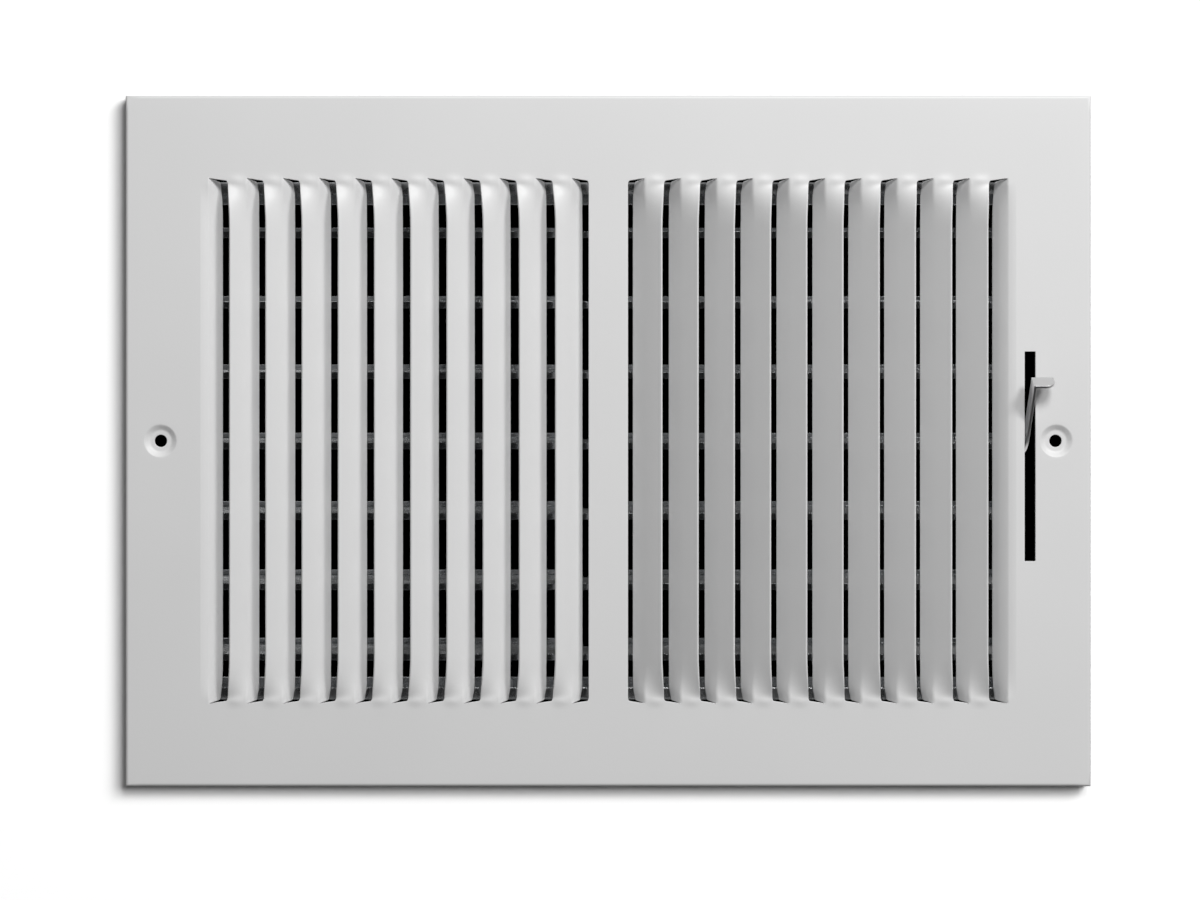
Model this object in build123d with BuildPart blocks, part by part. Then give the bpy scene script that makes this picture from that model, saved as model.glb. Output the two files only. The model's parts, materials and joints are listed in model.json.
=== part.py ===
from build123d import *
from math import cos, radians, sin
import os

# Sidewall register: a stamped steel face with two banks of vertical louvres, and a multi-shutter damper
# behind it, worked by a lever through a slot in the face.
# Millimetres. X runs to the right as seen from the room, Y into the wall, Z up.
# The origin is the middle of the face's outline, on the wall plane, where the rim ends.

# Face
face_width = 349.25
face_height = 250.0
face_sheet = 0.8
rim_depth = 6.4
rim_bend_radius = 1.3

# Screw holes, each at the bottom of a pressed dimple
screw_spacing = 323.85
screw_hole_radius = 2.25
dimple_radius = 5.8
dimple_floor_radius = 4.0
dimple_depth = 1.3

# Lever slot
slot_centre_x = 152.45
slot_width = 3.9
slot_top = 32.3
slot_bottom = -43.5
slot_corner_radius = 0.6

# Louvres, lanced from the face between cut lines that run up and down
louvres_per_bank = 10
louvre_pitch = 13.05
centre_strip_width = 14.2
louvre_held_width = 6.9
louvre_half_height = 92.2
flap_root_rise = 2.7
flap_corner_rise = 1.2
flap_corner_chamfer = 0.9
lance_clearance = 0.15
louvre_forming_length = 12.0
louvre_edge_shift = 1.0
louvre_rise = 3.4
louvre_mid_angles = (26.5, 40, 60)
louvre_end_angles = (0, 42, 68)
border_fold_width = 3.1
border_mid_angles = (0, 30, 55)
border_end_angles = (0, 36, 62)

# Damper frame
frame_sheet = 0.6
frame_front_depth = 6.0
frame_rear_depth = 38.6
frame_half_height = 94.0
frame_half_width = 149.0
front_flange_height = 4.2
rear_flange_height = 5.0
foot_width = 12.0
foot_reach = 8.0
end_foot_height = 72.0
corner_tab_length = 10.0
corner_tab_setback = 4.0

# Damper blades
blade_count = 7
blade_pitch = 25.64
blade_sheet = 0.6
blade_chord = 28.0
blade_lip = 2.0
blade_tilt = -4.0
blade_end_gap = 0.5
pivot_depth = 20.5
tongue_width = 4.0
tongue_overhang = 1.0
pivot_clearance = 0.1

# Crank tabs on the blades, tie bar and its studs
crank_reach = 9.0
crank_drop = 5.0
crank_tab_margin = 3.6
notch_width = 8.6
notch_start = 4.0
tie_bar_width = 6.0
tie_bar_thickness = 0.8
tie_bar_gap = 0.2
tie_bar_overrun = 5.0
stud_radius = 1.4
stud_clearance = 0.1
stud_head_radius = 2.6
stud_head_height = 0.8

# Lever
lever_thickness = 1.0
lever_width = 6.0
lever_hub_radius = 5.0
lever_knee_depth = 9.0
lever_knee_height = -2.2
lever_end_depth = -6.8
lever_end_height = 21.2
lever_knee_radius = 8.0
thumb_tab_length = 7.0
thumb_tab_round = 3.6
thumb_tab_corner = 1.2
spacer_radius = 4.0
spacer_gap = 0.2
tongue_peen = 0.7

# Places worked out from the sizes above
centre_strip_half = centre_strip_width / 2
bank_outer_cut = centre_strip_half + louvres_per_bank * louvre_pitch
louvre_flap_width = louvre_pitch - louvre_held_width
bank_outer_edge = bank_outer_cut + louvre_held_width + border_fold_width
pivot_y = pivot_depth - rim_depth
pivot_heights = [blade_pitch * (i - (blade_count - 1) / 2) for i in reversed(range(blade_count))]
blade_half_length = frame_half_width - frame_sheet - blade_end_gap
pivot_hole_radius = (tongue_width**2 + blade_sheet**2) ** 0.5 / 2 + pivot_clearance
front_plane = Plane.XZ.offset(rim_depth)


def at_depth(depth):
    """Y of a point that lies this far behind the front of the face."""
    return depth - rim_depth


def bent_sheet(angles, legs, start):
    """Section of a strip of the face's sheet that runs inwards from start, leg by leg, at angles to the face."""
    front = [start]
    for angle, leg in zip(angles, legs):
        front.append(front[-1] + Vector(-leg * cos(radians(angle)), leg * sin(radians(angle))))
    turns = [angles[0], *angles, angles[-1]]
    rear = []
    for point, before, after in zip(front, turns, turns[1:]):
        middle = radians((before + after) / 2)
        reach = face_sheet / cos(radians((after - before) / 2))
        rear.append(point + Vector(sin(middle), cos(middle)) * reach)
    with BuildLine() as outline:
        Polyline(*front, *reversed(rear), close=True)
    make_face(outline.edges())


def forming(share):
    """How far the louvre is formed at this share of its forming length: a smooth rise from 0 to 1."""
    return share * share * (3 - 2 * share)


def between(ends, middles, formed):
    """Bend angles of a section that is formed this far."""
    return [end + (middle - end) * formed for end, middle in zip(ends, middles)]


def louvre_face(formed):
    """Section of a louvre: the half that the face holds at both ends, then the flap that is free there."""
    legs = [louvre_held_width] + [louvre_flap_width / 2] * 2
    start = Vector(-louvre_edge_shift * formed, at_depth(-louvre_rise * formed))
    bent_sheet(between(louvre_end_angles, louvre_mid_angles, formed), legs, start)


def border_face(formed):
    """Section of the border fold: the face's own edge, rolled back beside the outermost louvre."""
    legs = [border_fold_width] + [louvre_held_width / 2] * 2
    bent_sheet(between(border_end_angles, border_mid_angles, formed), legs, Vector(0, at_depth(0)))


def blade_plane(height):
    """Plane across a blade at its pivot: along the chord to the rear, then up from the blade's face."""
    tilt = radians(blade_tilt)
    return Plane(origin=(0, pivot_y, height), x_dir=(0, cos(tilt), -sin(tilt)), z_dir=(1, 0, 0))


# End of a flap of the right bank, with its root at X = 0: cut on the slant from the root to a clipped corner
flap_end_height = louvre_half_height + flap_root_rise
with BuildSketch() as lance_end:
    with BuildLine():
        Polyline(
            (0, louvre_half_height - lance_clearance),
            (0, flap_end_height),
            (-louvre_flap_width, louvre_half_height + flap_corner_rise),
            (-louvre_flap_width, louvre_half_height - lance_clearance),
            close=True,
        )
    make_face()
    chamfer(lance_end.vertices().group_by(Axis.X)[0].sort_by(Axis.Y)[-1], flap_corner_chamfer)

# One louvre of the right bank, with the cut line of its proud edge at X = 0
forming_shares = (0, 1 / 3, 2 / 3, 1)
formed_half_height = louvre_half_height - louvre_forming_length
with BuildPart() as louvre_end:
    with BuildSketch(Plane.XY.offset(flap_end_height)):
        louvre_face(0)
    for share in forming_shares:
        with BuildSketch(Plane.XY.offset(louvre_half_height - share * louvre_forming_length)):
            louvre_face(forming(share))
    loft(ruled=True)
    with BuildSketch(front_plane):
        Rectangle(4 * louvre_pitch, 2 * louvre_half_height)
        with Locations((-louvre_held_width, -lance_clearance)):
            add(lance_end.sketch)
    extrude(amount=rim_depth, both=True, mode=Mode.INTERSECT)

with BuildPart() as louvre:
    with BuildSketch(Plane.XY.offset(-formed_half_height)):
        louvre_face(1)
    extrude(amount=2 * formed_half_height)
    add(louvre_end.part)
    mirror(louvre_end.part, about=Plane.XY)

# The right border fold, with its root at X = 0
with BuildPart() as border_end:
    with BuildSketch(Plane.XY.offset(flap_end_height)):
        border_face(0)
    for share in forming_shares:
        with BuildSketch(Plane.XY.offset(louvre_half_height - share * louvre_forming_length)):
            border_face(forming(share))
    loft(ruled=True)
    with BuildSketch(front_plane):
        Rectangle(4 * louvre_pitch, 2 * louvre_half_height)
        with Locations((-border_fold_width, -lance_clearance)):
            add(lance_end.sketch)
    extrude(amount=rim_depth, both=True, mode=Mode.INTERSECT)

with BuildPart() as border_fold:
    with BuildSketch(Plane.XY.offset(-formed_half_height)):
        border_face(1)
    extrude(amount=2 * formed_half_height)
    add(border_end.part)
    mirror(border_end.part, about=Plane.XY)

# The right bank: its louvres and its border fold
proud_edges = [centre_strip_half + louvre_pitch * (i + 1) for i in range(louvres_per_bank)]
flap_roots = [x - louvre_held_width for x in proud_edges]
border_root = bank_outer_edge - border_fold_width
with BuildPart() as right_bank:
    with Locations(*[(x, 0, 0) for x in proud_edges]):
        add(louvre.part)
    with Locations((bank_outer_edge, 0, 0)):
        add(border_fold.part)

# Dimple round a screw hole, with the hole on the Y axis
with BuildPart() as dimple:
    with BuildSketch():
        with BuildLine():
            Polyline(
                (dimple_radius, at_depth(0)),
                (dimple_floor_radius, at_depth(dimple_depth)),
                (screw_hole_radius, at_depth(dimple_depth)),
                (screw_hole_radius, at_depth(dimple_depth + face_sheet)),
                (dimple_floor_radius, at_depth(dimple_depth + face_sheet)),
                (dimple_radius, at_depth(face_sheet)),
                close=True,
            )
        make_face()
    revolve(axis=Axis.Y)

# Face: a pan with a bent rim, opened for the louvres, the lever and the screws
with BuildPart() as face_plate:
    with BuildSketch(Plane.XZ):
        Rectangle(face_width, face_height)
    extrude(amount=rim_depth)
    fillet(face_plate.faces().sort_by(Axis.Y)[0].edges(), rim_bend_radius)
    offset(amount=-face_sheet, openings=face_plate.faces().sort_by(Axis.Y)[-1])
    with BuildSketch(front_plane):
        with Locations(((centre_strip_half + bank_outer_edge) / 2, 0)):
            Rectangle(bank_outer_edge - centre_strip_half, 2 * louvre_half_height)
        with Locations(*[(x, 0) for x in (*flap_roots, border_root)]):
            add(lance_end.sketch)
        mirror(about=Plane.XZ)
        mirror(about=Plane.YZ)
        with Locations((slot_centre_x, (slot_top + slot_bottom) / 2)):
            RectangleRounded(slot_width, slot_top - slot_bottom, slot_corner_radius)
        with GridLocations(screw_spacing, 0, 2, 1):
            Circle(dimple_radius)
    extrude(amount=-face_sheet, mode=Mode.SUBTRACT)
    add(right_bank.part)
    mirror(right_bank.part, about=Plane.YZ)
    with GridLocations(screw_spacing, 0, 2, 1):
        add(dimple.part)

# Damper frame: a channel above and below, with a foot behind the centre strip of the face
foot_front = at_depth(face_sheet)
frame_front = at_depth(frame_front_depth)
frame_rear = at_depth(frame_rear_depth)
rail_half_length = frame_half_width - frame_sheet
rail_underside = frame_half_height - frame_sheet
with BuildPart() as frame_top_rail:
    with BuildSketch(Plane.YZ):
        with BuildLine():
            Polyline(
                (frame_front, frame_half_height),
                (frame_rear, frame_half_height),
                (frame_rear, frame_half_height - rear_flange_height),
                (frame_rear - frame_sheet, frame_half_height - rear_flange_height),
                (frame_rear - frame_sheet, rail_underside),
                (frame_front + frame_sheet, rail_underside),
                (frame_front + frame_sheet, frame_half_height - front_flange_height),
                (frame_front, frame_half_height - front_flange_height),
                close=True,
            )
        make_face()
    extrude(amount=rail_half_length, both=True)
    with BuildSketch(Plane.YZ):
        with BuildLine():
            Polyline(
                (foot_front, rail_underside),
                (foot_front, frame_half_height + foot_reach),
                (foot_front + frame_sheet, frame_half_height + foot_reach),
                (foot_front + frame_sheet, frame_half_height),
                (frame_front, frame_half_height),
                (frame_front, rail_underside),
                close=True,
            )
        make_face()
    extrude(amount=foot_width / 2, both=True)

with BuildPart() as frame_bottom_rail:
    mirror(frame_top_rail.part, about=Plane.XY)

# Damper frame: end plates with the pivot holes, tabs under the rails and feet to the back of the face
tab_depth = frame_rear_depth - frame_front_depth - 2 * corner_tab_setback
frame_middle = (frame_front + frame_rear) / 2
with BuildPart() as frame_right_end:
    with BuildSketch(Plane.YZ.offset(rail_half_length)):
        with Locations((frame_middle, 0)):
            Rectangle(frame_rear - frame_front, 2 * frame_half_height)
        with Locations((pivot_y, 0)):
            with GridLocations(0, blade_pitch, 1, blade_count):
                Circle(pivot_hole_radius, mode=Mode.SUBTRACT)
    extrude(amount=frame_sheet)
    with BuildSketch(Plane.XY.offset(rail_underside - frame_sheet)):
        with Locations((rail_half_length - corner_tab_length / 2, frame_middle)):
            Rectangle(corner_tab_length, tab_depth)
    corner_tab = extrude(amount=frame_sheet)
    with BuildSketch(Plane.XY.offset(end_foot_height - foot_width / 2)):
        with BuildLine():
            Polyline(
                (rail_half_length, foot_front),
                (frame_half_width + foot_reach, foot_front),
                (frame_half_width + foot_reach, foot_front + frame_sheet),
                (frame_half_width, foot_front + frame_sheet),
                (frame_half_width, frame_front),
                (rail_half_length, frame_front),
                close=True,
            )
        make_face()
    end_foot = extrude(amount=foot_width)
    mirror([corner_tab, end_foot], about=Plane.XY)

with BuildPart() as frame_left_end:
    mirror(frame_right_end.part, about=Plane.YZ)

# Lever: a cranked strip on the long tongue of the middle blade, its end bent over as a thumb tab
lever_inner = slot_centre_x - lever_thickness / 2
lever_end = Vector(lever_inner, at_depth(lever_end_depth), lever_end_height)
lever_knee = Vector(lever_inner, at_depth(lever_knee_depth), lever_knee_height)
thumb_tab_plane = Plane(origin=lever_end, x_dir=(1, 0, 0), z_dir=lever_end - lever_knee)
with BuildPart() as lever:
    with BuildSketch(Plane.YZ.offset(lever_inner)):
        with BuildLine():
            FilletPolyline(
                (pivot_y, 0),
                (lever_knee.Y, lever_knee.Z),
                (lever_end.Y, lever_end.Z),
                radius=lever_knee_radius,
            )
        trace(line_width=lever_width)
        with Locations((pivot_y, 0)):
            Circle(lever_hub_radius)
            Rectangle(tongue_width, blade_sheet, rotation=-blade_tilt, mode=Mode.SUBTRACT)
    extrude(amount=lever_thickness)
    with BuildSketch(thumb_tab_plane) as thumb_tab:
        with Locations(((lever_thickness + thumb_tab_length) / 2, 0)):
            Rectangle(lever_thickness + thumb_tab_length, lever_width)
        tab_tip = thumb_tab.vertices().group_by(Axis.X)[-1].sort_by(Axis.Y)
        fillet(tab_tip[0], thumb_tab_round)
        tab_tip = thumb_tab.vertices().sort_by(Axis.Y)[-2:].sort_by(Axis.X)
        fillet(tab_tip[-1], thumb_tab_corner)
    extrude(amount=-lever_thickness)

with BuildPart() as lever_spacer:
    with BuildSketch(Plane.YZ.offset(frame_half_width + spacer_gap)):
        with Locations((pivot_y, 0)):
            Circle(spacer_radius)
            Circle(pivot_hole_radius, mode=Mode.SUBTRACT)
    extrude(amount=lever_inner - frame_half_width - spacer_gap)

# Tie bar: a strip that hangs on the crank pins of all the blades
crank_pin = blade_plane(0).from_local_coords((crank_reach, -crank_drop))
tie_bar_edge = tie_bar_thickness / 2
with BuildPart() as tie_bar:
    with BuildSketch(Plane.YZ.offset(-tie_bar_edge)):
        with Locations((crank_pin.Y, crank_pin.Z)):
            Rectangle(tie_bar_width, (blade_count - 1) * blade_pitch + 2 * tie_bar_overrun)
            with GridLocations(0, blade_pitch, 1, blade_count):
                Circle(stud_radius + stud_clearance, mode=Mode.SUBTRACT)
    extrude(amount=tie_bar_thickness)

# Write the single pieces
os.makedirs("parts", exist_ok=True)
face_plate.part.label = "face_plate"
export_step(face_plate.part, "parts/face_plate.step")
frame_top_rail.part.label = "frame_top_rail"
export_step(frame_top_rail.part, "parts/frame_top_rail.step")
frame_bottom_rail.part.label = "frame_bottom_rail"
export_step(frame_bottom_rail.part, "parts/frame_bottom_rail.step")
frame_left_end.part.label = "frame_left_end"
export_step(frame_left_end.part, "parts/frame_left_end.step")
frame_right_end.part.label = "frame_right_end"
export_step(frame_right_end.part, "parts/frame_right_end.step")
lever.part.label = "lever"
export_step(lever.part, "parts/lever.step")
lever_spacer.part.label = "lever_spacer"
export_step(lever_spacer.part, "parts/lever_spacer.step")
tie_bar.part.label = "tie_bar"
export_step(tie_bar.part, "parts/tie_bar.step")

# Damper blades, numbered from the top, each with its stud: a lipped strip with a pivot tongue at either end
# and a crank tab, folded down from the notch that lets the tie bar through
lever_blade = (blade_count + 1) // 2
half_chord = blade_chord / 2
half_sheet = blade_sheet / 2
crank_tab_inner = tie_bar_edge + tie_bar_gap
crank_tab_drop = half_sheet + crank_drop + crank_tab_margin
short_tongue_end = frame_half_width + tongue_overhang
lever_tongue_end = lever_inner + lever_thickness + tongue_peen
for number, height in enumerate(pivot_heights, start=1):
    across = blade_plane(height)
    right_tongue_end = lever_tongue_end if number == lever_blade else short_tongue_end
    with BuildPart() as damper_blade:
        with BuildSketch(across):
            with BuildLine():
                Polyline(
                    (-half_chord, half_sheet),
                    (half_chord - blade_sheet, half_sheet),
                    (half_chord - blade_sheet, blade_lip),
                    (half_chord, blade_lip),
                    (half_chord, -half_sheet),
                    (blade_sheet - half_chord, -half_sheet),
                    (blade_sheet - half_chord, -blade_lip),
                    (-half_chord, -blade_lip),
                    close=True,
                )
            make_face()
        extrude(amount=blade_half_length, both=True)
        with BuildSketch(across.offset(blade_half_length)):
            Rectangle(tongue_width, blade_sheet)
        extrude(amount=right_tongue_end - blade_half_length)
        with BuildSketch(across.offset(-blade_half_length)):
            Rectangle(tongue_width, blade_sheet)
        extrude(amount=blade_half_length - short_tongue_end)
        with BuildSketch(across.offset(crank_tab_inner)):
            with Locations(((notch_start + blade_chord) / 2, 0)):
                Rectangle(blade_chord - notch_start, 4 * blade_lip)
        extrude(amount=-notch_width, mode=Mode.SUBTRACT)
        with BuildSketch(across.offset(crank_tab_inner)):
            with Locations((crank_reach, half_sheet - crank_tab_drop / 2)):
                Rectangle(2 * crank_tab_margin, crank_tab_drop)
        extrude(amount=blade_sheet)

    crank_pin = across.from_local_coords((crank_reach, -crank_drop))
    with BuildPart() as tie_stud:
        with BuildSketch(Plane(origin=crank_pin, x_dir=(1, 0, 0), z_dir=(0, 0, 1))) as stud_half:
            with BuildLine():
                Polyline(
                    (-crank_tab_inner - stud_head_height, 0),
                    (-crank_tab_inner - stud_head_height, stud_head_radius),
                    (-crank_tab_inner, stud_head_radius),
                    (-crank_tab_inner, stud_radius),
                    (crank_tab_inner, stud_radius),
                    (crank_tab_inner, 0),
                    close=True,
                )
            make_face()
        revolve(axis=Axis(crank_pin, (1, 0, 0)))

    damper_blade.part.label = f"damper_blade_{number}"
    export_step(damper_blade.part, f"parts/damper_blade_{number}.step")
    tie_stud.part.label = f"tie_stud_{number}"
    export_step(tie_stud.part, f"parts/tie_stud_{number}.step")
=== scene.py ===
import json
from math import cos, exp, pi, radians, sin, sqrt

import bmesh
import bpy
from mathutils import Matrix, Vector


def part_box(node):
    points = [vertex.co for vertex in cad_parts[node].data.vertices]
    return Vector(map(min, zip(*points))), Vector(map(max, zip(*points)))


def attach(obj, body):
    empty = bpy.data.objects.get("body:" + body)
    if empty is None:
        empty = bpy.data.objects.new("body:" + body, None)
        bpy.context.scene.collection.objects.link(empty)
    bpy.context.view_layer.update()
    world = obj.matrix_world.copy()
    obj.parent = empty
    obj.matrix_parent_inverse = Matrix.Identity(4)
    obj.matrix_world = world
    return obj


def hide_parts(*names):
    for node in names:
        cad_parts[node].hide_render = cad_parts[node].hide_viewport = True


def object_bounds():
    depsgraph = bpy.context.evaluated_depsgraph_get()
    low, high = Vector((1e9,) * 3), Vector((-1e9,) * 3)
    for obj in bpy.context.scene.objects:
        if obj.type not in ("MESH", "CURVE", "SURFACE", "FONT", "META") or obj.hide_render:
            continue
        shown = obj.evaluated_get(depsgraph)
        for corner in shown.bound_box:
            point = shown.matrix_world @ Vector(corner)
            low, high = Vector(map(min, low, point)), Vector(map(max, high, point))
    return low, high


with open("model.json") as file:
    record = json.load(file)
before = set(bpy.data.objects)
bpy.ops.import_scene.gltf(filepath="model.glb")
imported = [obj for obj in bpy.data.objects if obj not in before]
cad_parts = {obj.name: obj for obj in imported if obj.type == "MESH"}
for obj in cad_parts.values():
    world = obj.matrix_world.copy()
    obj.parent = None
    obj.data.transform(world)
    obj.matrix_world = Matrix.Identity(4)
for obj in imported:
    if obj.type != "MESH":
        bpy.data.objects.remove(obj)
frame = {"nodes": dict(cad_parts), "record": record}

cad_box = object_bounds()
MM = 0.001

# Face, as in the part: X to the right, Y into the wall, Z up, origin on the wall plane
FACE_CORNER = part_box("face_plate")[1]
HALF_WIDTH = FACE_CORNER[0]
HALF_HEIGHT = FACE_CORNER[2]
SHEET = 0.8 * MM
RIM_DEPTH = 6.4 * MM
RIM_BEND_RADIUS = 1.3 * MM
RIM_BEND_STEPS, RIM_WALL_STEPS = 6, 2

# Louvres: from its proud edge each goes back towards the centre strip, first the half that the plate
# holds at its ends, then the flap that is cut free; beside the last one the border is folded likewise
LOUVRES_PER_BANK = 10
PITCH = 13.05 * MM
CENTRE_STRIP_HALF = 7.1 * MM
HELD_WIDTH = 6.9 * MM
FLAP_WIDTH = PITCH - HELD_WIDTH
LOUVRE_HALF_HEIGHT = 93.2 * MM
FORMING_LENGTH = 16 * MM
FORMING_EASE = 0.1
EDGE_SHIFT, EDGE_SHIFT_POWER = 1.25 * MM, 2
LOUVRE_RISE, LOUVRE_RISE_POWER = 3.4 * MM, 3
ANGLE_POWER = 3
MID_ANGLES = (38, 41, 42, 45)
END_ANGLES = (0, 0, 42, 68)
BORDER_FOLD = 3.1 * MM
BORDER_MID_ANGLES = (8, 22, 34, 56)
BORDER_END_ANGLES = (0, 0, 42, 68)

# Lance cut over a louvre's end, and the crown that the press draws in the plate there
FLAP_ROOT_RISE = 1.7 * MM
FLAP_CORNER_RISE = 0.8 * MM
CROWN = 0.4 * MM
CROWN_LIFT, CROWN_REACH = 0.8 * MM, 1.7 * MM
CROWN_INSET, CROWN_SPREAD = 3.0 * MM, 2.6 * MM

# Screw holes and lever slot
SCREW_X = 161.925 * MM
SCREW_HOLE_RADIUS = 2.25 * MM
DIMPLE_RADIUS = 5.8 * MM
DIMPLE_FLOOR_RADIUS = 4.0 * MM
DIMPLE_DEPTH = 1.3 * MM
DIMPLE_PATCH, DIMPLE_PATCH_STEPS = 7.0 * MM, 8
DIMPLE_LEAD = 0.3 * MM
DIMPLE_BEND, DIMPLE_BEND_DROP = 0.4 * MM, 0.3 * MM
DIMPLE_SAG = 0.06 * MM
SLOT_LEFT, SLOT_RIGHT = 150.5 * MM, 154.4 * MM
SLOT_BOTTOM, SLOT_TOP = -43.5 * MM, 32.3 * MM

# Mesh: points and lines that count as one, and rounded edges
SAME_POINT, SAME_LINE, SAME_CAD_POINT = 0.001 * MM, 0.002 * MM, 0.005 * MM
FACE_EDGE_ROUND, FACE_EDGE_ANGLE, FACE_NORMAL_WEIGHT = 0.14 * MM, 55, 60
CAD_EDGE_ROUND, CAD_EDGE_ANGLE, CAD_NORMAL_WEIGHT = 0.15 * MM, 40, 80
EDGE_SEGMENTS = 2


def add(name, data):
    """A new object in the scene."""
    thing = bpy.data.objects.new(name, data)
    bpy.context.scene.collection.objects.link(thing)
    return thing


def at_depth(depth):
    """Y of a point this far behind the front of the face."""
    return depth - RIM_DEPTH


def spread(start, end, count):
    """count + 1 values, evenly from start to end."""
    return [start + (end - start) * i / count for i in range(count + 1)]


def distinct(values):
    """The values in order, each one once."""
    kept = []
    for value in sorted(values):
        if not kept or value - kept[-1] > SAME_LINE:
            kept.append(value)
    return kept


class Sheet:
    """The front side of a sheet, made of patches that share their common points."""

    def __init__(self):
        self.mesh = bmesh.new()
        self.points = {}

    def point(self, place):
        key = tuple(round(c / SAME_POINT) for c in place)
        if key not in self.points:
            self.points[key] = self.mesh.verts.new(place)
        return self.points[key]

    def patch(self, rows):
        """Quads between neighbouring rows; a quad with two corners in one place becomes a triangle."""
        for low, high in zip(rows, rows[1:]):
            for quad in zip(low, low[1:], high[1:], high):
                points = list(dict.fromkeys(self.point(place) for place in quad))
                if len(points) > 2:
                    self.mesh.faces.new(points)


def quadratic(points, t):
    """A point of the curve with these three control points."""
    a, b, c = points
    return a * (1 - t) ** 2 + b * (2 * t * (1 - t)) + c * t * t


def section(angles, legs, start):
    """Curve of a strip from start, as a function of the way across: 0 to 1 is held, 1 to 2 is the flap."""
    control = [start]
    for angle, leg in zip(angles, legs):
        control.append(control[-1] + Vector((-leg * cos(radians(angle)), leg * sin(radians(angle)))))

    def at(way):
        return quadratic(control[:3], way) if way <= 1 else quadratic(control[2:], way - 1)

    return at


def between(ends, middles, formed):
    return [end + (middle - end) * formed for end, middle in zip(ends, middles)]


def settled(formed, power):
    """A share from 0 to 1 that is steep at first and then settles, the sooner the higher the power."""
    return 1 - (1 - formed) ** power


def louvre_section(formed):
    legs = [HELD_WIDTH / 2] * 2 + [FLAP_WIDTH / 2] * 2
    shift = EDGE_SHIFT * settled(formed, EDGE_SHIFT_POWER)
    rise = LOUVRE_RISE * settled(formed, LOUVRE_RISE_POWER)
    angles = between(END_ANGLES, MID_ANGLES, settled(formed, ANGLE_POWER))
    return section(angles, legs, Vector((-shift, -rise)))


def border_section(formed):
    legs = [BORDER_FOLD / 2] * 2 + [HELD_WIDTH / 2] * 2
    angles = between(BORDER_END_ANGLES, BORDER_MID_ANGLES, settled(formed, ANGLE_POWER))
    return section(angles, legs, Vector((0, 0)))


def formed_at(z):
    """How far a louvre is formed at this height: 0 at its ends, 1 over its middle."""
    share = min(max((LOUVRE_HALF_HEIGHT - abs(z)) / FORMING_LENGTH, 0), 1)
    return share * share * (1 + FORMING_EASE) / (share + FORMING_EASE)


LANCE_SLOPE = (FLAP_ROOT_RISE - FLAP_CORNER_RISE) / FLAP_WIDTH
LANCE_ROUND = FLAP_CORNER_RISE / (sqrt(1 + LANCE_SLOPE**2) - LANCE_SLOPE)
LANCE_TANGENT = LANCE_ROUND * (1 - LANCE_SLOPE / sqrt(1 + LANCE_SLOPE**2))


def lance_rise(from_edge):
    """Height of the lance cut over the louvre's end, this far from the flap's free edge."""
    if from_edge < LANCE_TANGENT:
        return sqrt(LANCE_ROUND**2 - (LANCE_ROUND - from_edge) ** 2)
    return FLAP_CORNER_RISE + LANCE_SLOPE * from_edge


# Ways across a louvre where the mesh has a line
HELD_WAYS = [0, 0.1, 0.25, 0.42, 0.58, 0.75, 0.9, 1]
FLAP_CORNER_STEPS = [0, 0.35 * MM, 0.75 * MM, LANCE_TANGENT]
FLAP_STEPS = [*FLAP_CORNER_STEPS, 2.2 * MM, 3.3 * MM, 4.4 * MM, 5.4 * MM, FLAP_WIDTH]
FLAP_WAYS = [2 - step / FLAP_WIDTH for step in reversed(FLAP_STEPS)]

# Lines of the mesh up the face
FORMING_SHARES = [0, 0.02, 0.045, 0.075, 0.11, 0.15, 0.2, 0.26, 0.34, 0.45, 0.6, 0.8, 1]
LANCE_STEPS = 3
LANCE_LEVELS = spread(0, 1, LANCE_STEPS)
DIMPLE_LINES = spread(-DIMPLE_PATCH, DIMPLE_PATCH, DIMPLE_PATCH_STEPS)
PLAIN_LINES = [-60 * MM, -25 * MM, 20 * MM, 56 * MM]
END_LINES = [LOUVRE_HALF_HEIGHT - share * FORMING_LENGTH for share in FORMING_SHARES]
MID_LINES = [SLOT_BOTTOM, SLOT_TOP, *DIMPLE_LINES, *PLAIN_LINES]
Z_LINES = sorted([*END_LINES, *[-z for z in END_LINES], *MID_LINES])
PLATE_START = LOUVRE_HALF_HEIGHT + FLAP_ROOT_RISE
LANCE_LINES = spread(LOUVRE_HALF_HEIGHT, PLATE_START, LANCE_STEPS)
CROWN_LINES = [PLATE_START + step for step in (0, 0.7 * MM, 1.5 * MM)]
PLATE_REST, PLATE_STEPS = 2.5 * MM, 6
TOP_LINES = CROWN_LINES + spread(PLATE_START + PLATE_REST, HALF_HEIGHT - RIM_BEND_RADIUS, PLATE_STEPS)

# Lines of the mesh across the face, for the right half
CENTRE_LINES = spread(0, CENTRE_STRIP_HALF, 2)
PROUD_EDGES = [CENTRE_STRIP_HALF + PITCH * (i + 1) for i in range(LOUVRES_PER_BANK)]
BORDER_START = PROUD_EDGES[-1] + HELD_WIDTH + BORDER_FOLD
BORDER_LINES = [BORDER_START, SLOT_LEFT, SLOT_RIGHT]
BORDER_LINES += [SCREW_X + line for line in DIMPLE_LINES] + [HALF_WIDTH - RIM_BEND_RADIUS]

face = Sheet()


def flat(side, xs, zs):
    """A flat patch of the face, on the right for side 1 and on the left for side -1."""
    face.patch([[(side * x, at_depth(0), z) for x in xs] for z in zs])


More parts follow.
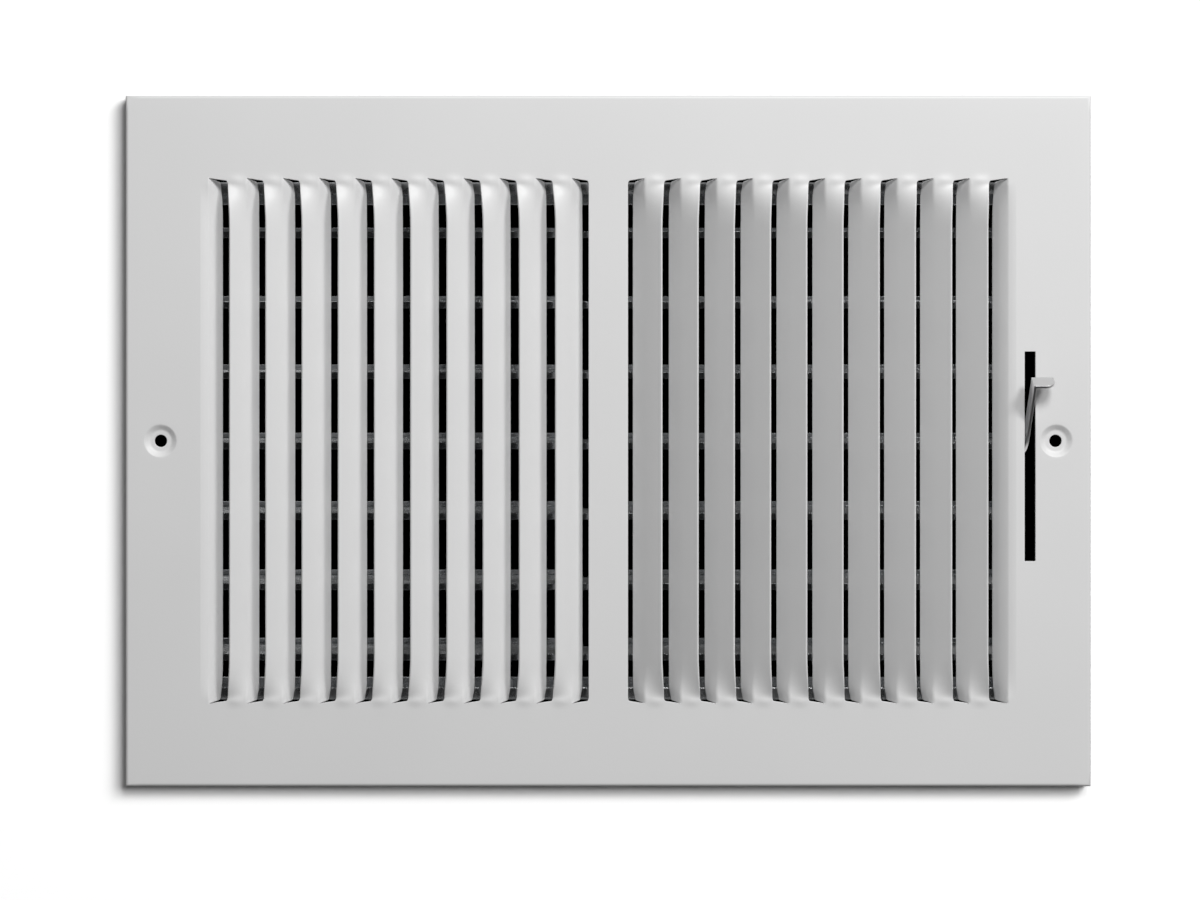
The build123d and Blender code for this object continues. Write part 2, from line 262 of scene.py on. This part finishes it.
def strip(side, root_x, held_width, flap_width, section_at, half):
    """Half of a louvre, from its middle to one end, and the plate round that end.

    Gives back the lines across the plate that it ends in.
    """
    edge_x = root_x + held_width
    held_xs = [edge_x - way * held_width for way in HELD_WAYS]
    flap_xs = [root_x - (way - 1) * flap_width for way in FLAP_WAYS]
    rises = [lance_rise((2 - way) * FLAP_WIDTH) for way in FLAP_WAYS]
    curves = {}

    def place(way, z):
        if z not in curves:
            curves[z] = section_at(formed_at(z))
        across, deep = curves[z](way)
        return (side * (edge_x + across), at_depth(deep), half * z)

    def notch(x, rise, level):
        z = LOUVRE_HALF_HEIGHT + rise + (FLAP_ROOT_RISE - rise) * level
        return (side * x, at_depth(0), half * z)

    zs = sorted({abs(z) for z in Z_LINES if z * half >= 0})
    face.patch([[place(way, z) for way in HELD_WAYS + FLAP_WAYS[1:]] for z in zs])
    flap_end, plate_end = [], []
    for level in LANCE_LEVELS:
        heights = [LOUVRE_HALF_HEIGHT + rise * level for rise in rises]
        flap_end.append([place(way, z) for way, z in zip(FLAP_WAYS, heights)])
        plate_end.append([notch(x, rise, level) for x, rise in zip(flap_xs, rises)])
    face.patch(flap_end)
    face.patch(plate_end)
    flat(side, held_xs, [half * z for z in LANCE_LINES])
    return flap_xs + held_xs


def dimple(side):
    """The plate round a screw hole: from a square to a round dimple with the hole in its floor."""
    line = DIMPLE_LINES
    square = [(x, line[0]) for x in line[:-1]] + [(line[-1], z) for z in line[:-1]]
    square += [(x, line[-1]) for x in line[:0:-1]] + [(line[0], z) for z in line[:0:-1]]
    round_profile = [
        (DIMPLE_RADIUS + DIMPLE_LEAD, 0),
        (DIMPLE_RADIUS, DIMPLE_SAG),
        (DIMPLE_RADIUS - DIMPLE_BEND, DIMPLE_BEND_DROP),
        (DIMPLE_FLOOR_RADIUS + DIMPLE_BEND, DIMPLE_DEPTH - DIMPLE_BEND_DROP),
        (DIMPLE_FLOOR_RADIUS, DIMPLE_DEPTH - DIMPLE_SAG),
        (DIMPLE_FLOOR_RADIUS - DIMPLE_BEND, DIMPLE_DEPTH),
        (SCREW_HOLE_RADIUS, DIMPLE_DEPTH),
    ]
    rows = [[(side * (SCREW_X + x), at_depth(0), z) for x, z in square]]
    for radius, depth in round_profile:
        row = []
        for x, z in square:
            out = Vector((x, z)).normalized() * radius
            row.append((side * (SCREW_X + out.x), at_depth(depth), out.y))
        rows.append(row)
    face.patch([row + row[:1] for row in rows])


def border(side):
    """The plate beside a bank, open for the dimple and, on the right, for the lever."""
    for left, right in zip(BORDER_LINES, BORDER_LINES[1:]):
        for low, high in zip(Z_LINES, Z_LINES[1:]):
            x, z = (left + right) / 2, (low + high) / 2
            in_slot = side == 1 and SLOT_LEFT < x < SLOT_RIGHT and SLOT_BOTTOM < z < SLOT_TOP
            in_dimple = abs(x - SCREW_X) < DIMPLE_PATCH and abs(z) < DIMPLE_PATCH
            if not in_slot and not in_dimple:
                flat(side, [left, right], [low, high])


def rim(side, xs):
    """Half of the rim: a round bend, then a wall back to the wall plane, mitred at the corners."""
    upper_lines = [*LANCE_LINES, *TOP_LINES]
    zs = distinct([*Z_LINES, *upper_lines, *[-z for z in upper_lines]])
    turns = spread(0, pi / 2, RIM_BEND_STEPS)
    bend = [(RIM_BEND_RADIUS * sin(turn), RIM_BEND_RADIUS * (1 - cos(turn))) for turn in turns]
    bend += [(RIM_BEND_RADIUS, depth) for depth in spread(RIM_BEND_RADIUS, RIM_DEPTH, RIM_WALL_STEPS)[1:]]
    side_rows, top_rows = [], []
    for out, depth in bend:
        corner_x, corner_z = xs[-1] + out, zs[-1] + out
        side_zs = [-corner_z, *zs[1:-1], corner_z]
        side_rows.append([(side * corner_x, at_depth(depth), z) for z in side_zs])
        top_rows.append([(side * x, at_depth(depth), corner_z) for x in [*xs[:-1], corner_x]])
    face.patch(side_rows)
    face.patch(top_rows)
    face.patch([[(x, y, -z) for x, y, z in row] for row in top_rows])


for side in (1, -1):
    flat(side, CENTRE_LINES, Z_LINES)
    border(side)
    dimple(side)
    plate_xs = [*CENTRE_LINES, *BORDER_LINES]
    for half in (1, -1):
        flat(side, CENTRE_LINES, [half * z for z in LANCE_LINES])
        flat(side, BORDER_LINES, [half * z for z in LANCE_LINES])
        for edge in PROUD_EDGES:
            plate_xs += strip(side, edge - HELD_WIDTH, HELD_WIDTH, FLAP_WIDTH, louvre_section, half)
        plate_xs += strip(side, BORDER_START - BORDER_FOLD, BORDER_FOLD, HELD_WIDTH, border_section, half)
    plate_xs = distinct(plate_xs)
    for half in (1, -1):
        flat(side, plate_xs, [half * z for z in TOP_LINES])
    rim(side, plate_xs)

# The press draws the plate forward a little over the end of each louvre
for vert in face.mesh.verts:
    above = (abs(vert.co.z) - LOUVRE_HALF_HEIGHT - CROWN_LIFT) / CROWN_REACH
    for edge in PROUD_EDGES:
        beside = (abs(vert.co.x) - edge + CROWN_INSET) / CROWN_SPREAD
        vert.co.y -= CROWN * exp(-above * above - beside * beside)

# All normals to the front, judged by a face of the plain plate
bmesh.ops.recalc_face_normals(face.mesh, faces=face.mesh.faces)
plate_point = Vector((0, at_depth(0), TOP_LINES[2]))
plate_face = min(face.mesh.faces, key=lambda polygon: (polygon.calc_center_median() - plate_point).length)
if plate_face.normal.y > 0:
    bmesh.ops.reverse_faces(face.mesh, faces=face.mesh.faces)
for polygon in face.mesh.faces:
    polygon.smooth = True
face_mesh = bpy.data.meshes.new("stamped_face")
face.mesh.to_mesh(face_mesh)
stamped_face = add("stamped_face", face_mesh)


def round_edges(piece, width, angle, weight):
    """Rounds the edges of a piece a little, and keeps its flats flat in the shading."""
    edges = piece.modifiers.new("edges", "BEVEL")
    edges.width = width
    edges.segments = EDGE_SEGMENTS
    edges.limit_method = "ANGLE"
    edges.angle_limit = radians(angle)
    edges.use_clamp_overlap = False
    shading = piece.modifiers.new("shading", "WEIGHTED_NORMAL")
    shading.weight = weight


thick = stamped_face.modifiers.new("sheet", "SOLIDIFY")
thick.thickness = SHEET
thick.offset = -1
thick.use_even_offset = True
round_edges(stamped_face, FACE_EDGE_ROUND, FACE_EDGE_ANGLE, FACE_NORMAL_WEIGHT)
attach(stamped_face, "housing")
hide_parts("face_plate")

# Materials
DRIFT_SCALE, DRIFT_DETAIL = 14, 3
SPANGLE_SCALE = 160
GRAIN_DETAIL, GRAIN_DEPTH = 4, 0.05 * MM
COAT_ROUGHNESS = 0.3


def node_material(name):
    material = bpy.data.materials.new(name)
    material.use_nodes = True
    nodes = material.node_tree.nodes
    nodes.clear()
    return material, nodes, material.node_tree.links


def noise(nodes, links, coordinates, scale, detail):
    texture = nodes.new("ShaderNodeTexNoise")
    texture.inputs["Scale"].default_value = scale
    texture.inputs["Detail"].default_value = detail
    links.new(coordinates, texture.inputs["Vector"])
    return texture.outputs["Fac"]


def spangle(nodes, links, coordinates):
    """A random grey for each crystal of a zinc coat."""
    crystals = nodes.new("ShaderNodeTexVoronoi")
    crystals.inputs["Scale"].default_value = SPANGLE_SCALE
    links.new(coordinates, crystals.inputs["Vector"])
    tone = nodes.new("ShaderNodeRGBToBW")
    links.new(crystals.outputs["Color"], tone.inputs["Color"])
    return tone.outputs["Val"]


def ranged(nodes, links, value, low, high):
    node = nodes.new("ShaderNodeMapRange")
    node.inputs["To Min"].default_value = low
    node.inputs["To Max"].default_value = high
    links.new(value, node.inputs["Value"])
    return node.outputs["Result"]


def finished(name, colours, roughness, metallic, grain_scale, grain_bump, spangled=False, coat=0.0):
    """A sheet metal finish: colour that goes between two tones, uneven roughness and a fine relief."""
    material, nodes, links = node_material(name)
    output = nodes.new("ShaderNodeOutputMaterial")
    surface = nodes.new("ShaderNodeBsdfPrincipled")
    place = nodes.new("ShaderNodeTexCoord").outputs["Object"]
    if spangled:
        drift = spangle(nodes, links, place)
    else:
        drift = noise(nodes, links, place, DRIFT_SCALE, DRIFT_DETAIL)
    blend = nodes.new("ShaderNodeMix")
    blend.data_type = "RGBA"
    blend.inputs["A"].default_value = (*colours[0], 1)
    blend.inputs["B"].default_value = (*colours[1], 1)
    links.new(drift, blend.inputs["Factor"])
    links.new(blend.outputs["Result"], surface.inputs["Base Color"])
    links.new(ranged(nodes, links, drift, *roughness), surface.inputs["Roughness"])
    surface.inputs["Metallic"].default_value = metallic
    surface.inputs["Coat Weight"].default_value = coat
    surface.inputs["Coat Roughness"].default_value = COAT_ROUGHNESS
    relief = nodes.new("ShaderNodeBump")
    relief.inputs["Strength"].default_value = grain_bump
    relief.inputs["Distance"].default_value = GRAIN_DEPTH
    links.new(noise(nodes, links, place, grain_scale, GRAIN_DETAIL), relief.inputs["Height"])
    links.new(relief.outputs["Normal"], surface.inputs["Normal"])
    links.new(surface.outputs["BSDF"], output.inputs["Surface"])
    return material


enamel = finished(
    "white_enamel",
    colours=((0.8, 0.8, 0.8), (0.84, 0.84, 0.84)),
    roughness=(0.42, 0.52),
    metallic=0.0,
    grain_scale=1100,
    grain_bump=0.3,
    coat=0.1,
)
galvanised = finished(
    "galvanised_sheet",
    colours=((0.46, 0.47, 0.48), (0.56, 0.57, 0.58)),
    roughness=(0.2, 0.3),
    metallic=1.0,
    grain_scale=500,
    grain_bump=0.05,
    spangled=True,
)
# The blades: a darker copy of the galvanised steel of their slot, painted shade for the dim inside of the
# damper
blade_shade_steel = finished(
    "blade_steel_painted_shade",
    colours=((0.3, 0.31, 0.32), (0.4, 0.41, 0.42)),
    roughness=(0.14, 0.22),
    metallic=1.0,
    grain_scale=500,
    grain_bump=0.05,
    spangled=True,
)
plated = finished(
    "bright_zinc",
    colours=((0.7, 0.7, 0.7), (0.8, 0.8, 0.8)),
    roughness=(0.24, 0.34),
    metallic=1.0,
    grain_scale=1200,
    grain_bump=0.12,
)
SLOT_MATERIALS = {"white_paint": enamel, "galvanised_steel": galvanised, "zinc_plate": plated}

stamped_face.data.materials.append(enamel)
for part in frame["record"]["subparts"]:
    piece = frame["nodes"][part["node"]]
    is_blade = part["node"].startswith("damper_blade")
    piece.data.materials.clear()
    # Blades take the darker copy of the galvanised steel, which paints in the shade inside the damper
    piece.data.materials.append(blade_shade_steel if is_blade else SLOT_MATERIALS[part["material_slot"]])
    if part["node"] != "face_plate":
        joined = piece.modifiers.new("joined", "WELD")
        joined.merge_threshold = SAME_CAD_POINT
        round_edges(piece, CAD_EDGE_ROUND, CAD_EDGE_ANGLE, CAD_NORMAL_WEIGHT)

# Stage: a wall that takes the shadow, and a black screen of painted shade for the dark duct; neither shows
# from behind
WALL_HALF_WIDTH, WALL_HALF_HEIGHT = 0.235, 0.185
WALL_TONE = 0.5
DUCT_HALF_WIDTH, DUCT_HALF_HEIGHT = 0.169, 0.104
SCREEN_HALF_WIDTH, SCREEN_HALF_HEIGHT = 0.178, 0.128
SCREEN_GAP = 0.4 * MM
SCREEN_Y = cad_box[1][1] + SCREEN_GAP


def rectangle(half_width, half_height, y):
    return [(x * half_width, y, z * half_height) for x, z in ((-1, -1), (1, -1), (1, 1), (-1, 1))]


def one_sided(name, build):
    """A material that is see-through from behind."""
    material, nodes, links = node_material(name)
    output = nodes.new("ShaderNodeOutputMaterial")
    mix = nodes.new("ShaderNodeMixShader")
    links.new(nodes.new("ShaderNodeNewGeometry").outputs["Backfacing"], mix.inputs["Fac"])
    links.new(build(nodes), mix.inputs[1])
    links.new(nodes.new("ShaderNodeBsdfTransparent").outputs["BSDF"], mix.inputs[2])
    links.new(mix.outputs["Shader"], output.inputs["Surface"])
    return material


def wall_surface(nodes):
    diffuse = nodes.new("ShaderNodeBsdfDiffuse")
    diffuse.inputs["Color"].default_value = (WALL_TONE, WALL_TONE, WALL_TONE, 1)
    return diffuse.outputs["BSDF"]


# Painted shade: a black that gives no light, for the unlit duct behind the damper
def painted_shade_surface(nodes):
    dark = nodes.new("ShaderNodeEmission")
    dark.inputs["Strength"].default_value = 0
    return dark.outputs["Emission"]


def stage_mesh(name, points, faces, material):
    """A piece of the stage that the camera sees, and that the object's light and reflections don't."""
    mesh = bpy.data.meshes.new(name)
    mesh.from_pydata(points, [], faces)
    mesh.materials.append(material)
    thing = add(name, mesh)
    thing.visible_shadow = False
    thing.visible_glossy = False
    thing.visible_diffuse = False
    return thing


wall_outline = rectangle(WALL_HALF_WIDTH, WALL_HALF_HEIGHT, 0)
wall_opening = rectangle(DUCT_HALF_WIDTH, DUCT_HALF_HEIGHT, 0)
wall = stage_mesh(
    "wall",
    wall_outline + wall_opening,
    [(0, 1, 5, 4), (1, 2, 6, 5), (2, 3, 7, 6), (3, 0, 4, 7)],
    one_sided("wall_white", wall_surface),
)
# The duct screen is painted shade: black, seen only by the camera, where the duct behind the damper is
# dark
stage_mesh(
    "duct",
    rectangle(SCREEN_HALF_WIDTH, SCREEN_HALF_HEIGHT, SCREEN_Y),
    [(0, 1, 2, 3)],
    one_sided("duct_painted_shade", painted_shade_surface),
)

# World: white for the camera; in reflections pale behind the object, dark before it and along the duct
AMBIENT = 0.12
SEEN = 1.0
ROOM_BEFORE, ROOM_BEHIND, ROOM_DUCT = 0.02, 0.7, 0.02
BEHIND_FROM, BEHIND_TO = -0.2, 0.2
DUCT_FROM, DUCT_TO = 0.88, 0.97
world = bpy.data.worlds.new("white_room")
bpy.context.scene.world = world
world.use_nodes = True
world_nodes = world.node_tree.nodes
world_links = world.node_tree.links


def mixed(factor, low, high):
    """low where factor is 0, high where it is 1; either is a number or an output."""
    node = world_nodes.new("ShaderNodeMix")
    world_links.new(factor, node.inputs["Factor"])
    for name, value in (("A", low), ("B", high)):
        if isinstance(value, float):
            node.inputs[name].default_value = value
        else:
            world_links.new(value, node.inputs[name])
    return node.outputs["Result"]


def passed(value, start, end):
    """How much of the way from start to end the value has gone, 0 to 1."""
    node = world_nodes.new("ShaderNodeMapRange")
    node.inputs["From Min"].default_value = start
    node.inputs["From Max"].default_value = end
    world_links.new(value, node.inputs["Value"])
    return node.outputs["Result"]


ray = world_nodes.new("ShaderNodeLightPath")
direction = world_nodes.new("ShaderNodeSeparateXYZ")
world_links.new(world_nodes.new("ShaderNodeTexCoord").outputs["Generated"], direction.inputs["Vector"])
back_room = mixed(passed(direction.outputs["Y"], DUCT_FROM, DUCT_TO), ROOM_BEHIND, ROOM_DUCT)
room = mixed(passed(direction.outputs["Y"], BEHIND_FROM, BEHIND_TO), ROOM_BEFORE, back_room)
lit = mixed(ray.outputs["Is Glossy Ray"], AMBIENT, room)
background = world_nodes["Background"]
background.inputs["Color"].default_value = (1, 1, 1, 1)
world_links.new(mixed(ray.outputs["Is Camera Ray"], lit, SEEN), background.inputs["Strength"])


# Lamps
def aim(thing, towards):
    thing.rotation_euler = Vector(towards).to_track_quat("-Z", "Y").to_euler()


def lamp(name, place, size, power):
    """A round lamp that looks at the origin."""
    light = bpy.data.lights.new(name, "AREA")
    light.shape = "DISK"
    light.size = size
    light.energy = power
    thing = add(name, light)
    thing.location = place
    aim(thing, -Vector(place))


lamp("key", place=(0.95, -1.15, 0.95), size=0.45, power=12.5)
lamp("front", place=(0.25, -1.4, 1.05), size=0.6, power=16)
lamp("back", place=(-0.6, 1.2, 0.9), size=1.2, power=10)

# The wall's own light, for the register's shadow on it; it doesn't reach the register
SUN_STRENGTH, SUN_ANGLE = 6.2, 40
SUN_DIRECTION = (-0.65, 0.8, -0.5)
sun = bpy.data.lights.new("wall_sun", "SUN")
sun.energy = SUN_STRENGTH
sun.angle = radians(SUN_ANGLE)
wall_sun = add("wall_sun", sun)
aim(wall_sun, SUN_DIRECTION)
wall_only = bpy.data.collections.new("wall_only")
wall_only.objects.link(wall)
wall_sun.light_linking.receiver_collection = wall_only

# Camera, as in the photo: square to the face, with the lens shifted
CAMERA_PLACE = (-46.4 * MM, -906.4 * MM, -0.4 * MM)
CAMERA_SENSOR, CAMERA_LENS = 36, 74.7
CAMERA_SHIFT = (0.1, -0.0067)
camera = add("camera", bpy.data.cameras.new("camera"))
camera.location = CAMERA_PLACE
camera.rotation_euler = (pi / 2, 0, 0)
camera.data.sensor_width = CAMERA_SENSOR
camera.data.lens = CAMERA_LENS
camera.data.shift_x, camera.data.shift_y = CAMERA_SHIFT
bpy.context.scene.camera = camera
bpy.context.scene.view_settings.view_transform = "Standard"
